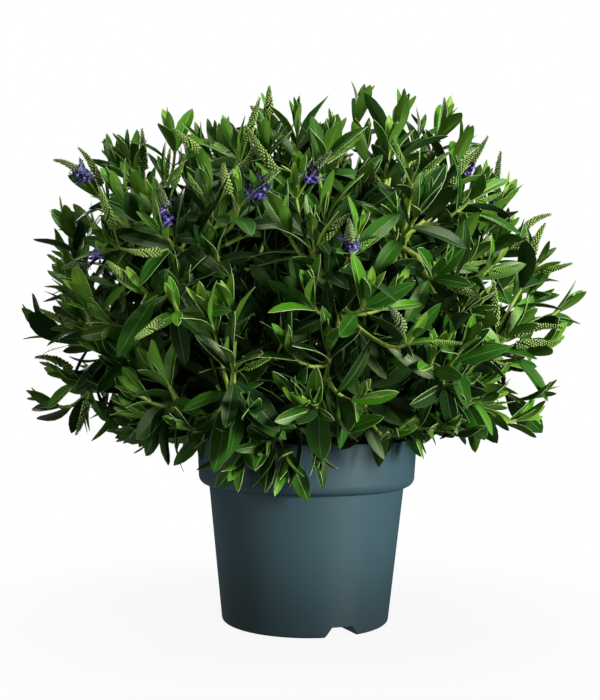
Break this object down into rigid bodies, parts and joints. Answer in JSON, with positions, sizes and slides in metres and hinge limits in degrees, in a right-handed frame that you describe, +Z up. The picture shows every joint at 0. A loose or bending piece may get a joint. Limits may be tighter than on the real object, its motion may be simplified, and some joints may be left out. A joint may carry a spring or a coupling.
{
  "type": "potted hebe shrub",
  "caption": "Rounded evergreen hebe shrub with crossed pairs of narrow leaves and bud racemes, growing in a round tapered grower's pot with a wide collar.",
  "frame": {"origin": "the middle of the pot's flat underside, on the pot's own axis", "axes": "+Z up along the pot's axis; the plant's front, as pictured, faces -Y; +X to the right seen from the front"},
  "size_m": [0.5912, 0.5473, 0.5589],
  "materials": {
    "pot_plastic": "satin blue-grey injection-moulded polypropylene",
    "soil": "dark crumbly peat-like potting compost",
    "bark": "brown-grey bark with leaf scars",
    "green_wood": "smooth yellow-green young wood",
    "foliage": "glossy dark green leaves with paler margins"
  },
  "bodies": {
    "root": {"bough_01": "green_wood", "bough_02": "green_wood", "bough_03": "green_wood", "bough_04": "green_wood", "bough_05": "green_wood", "bough_06": "green_wood", "bough_07": "green_wood", "bough_08": "green_wood", "bough_09": "green_wood", "bough_10": "green_wood", "bough_11": "green_wood", "bough_12": "green_wood", "bough_13": "green_wood", "bough_14": "green_wood", "bough_15": "green_wood", "bough_16": "green_wood", "foliage_01": "foliage", "foliage_02": "foliage", "foliage_03": "foliage", "foliage_04": "foliage", "foliage_05": "foliage", "foliage_06": "foliage", "foliage_07": "foliage", "foliage_08": "foliage", "foliage_09": "foliage", "foliage_10": "foliage", "foliage_11": "foliage", "foliage_12": "foliage", "foliage_13": "foliage", "foliage_14": "foliage", "foliage_15": "foliage", "foliage_16": "foliage", "leader": "green_wood", "limb_1": "green_wood", "limb_2": "green_wood", "limb_3": "green_wood", "limb_4": "green_wood", "limb_5": "green_wood", "limb_6": "green_wood", "main_stem": "bark", "pot": "pot_plastic", "potting_soil": "soil"}
  },
  "joints": []
}
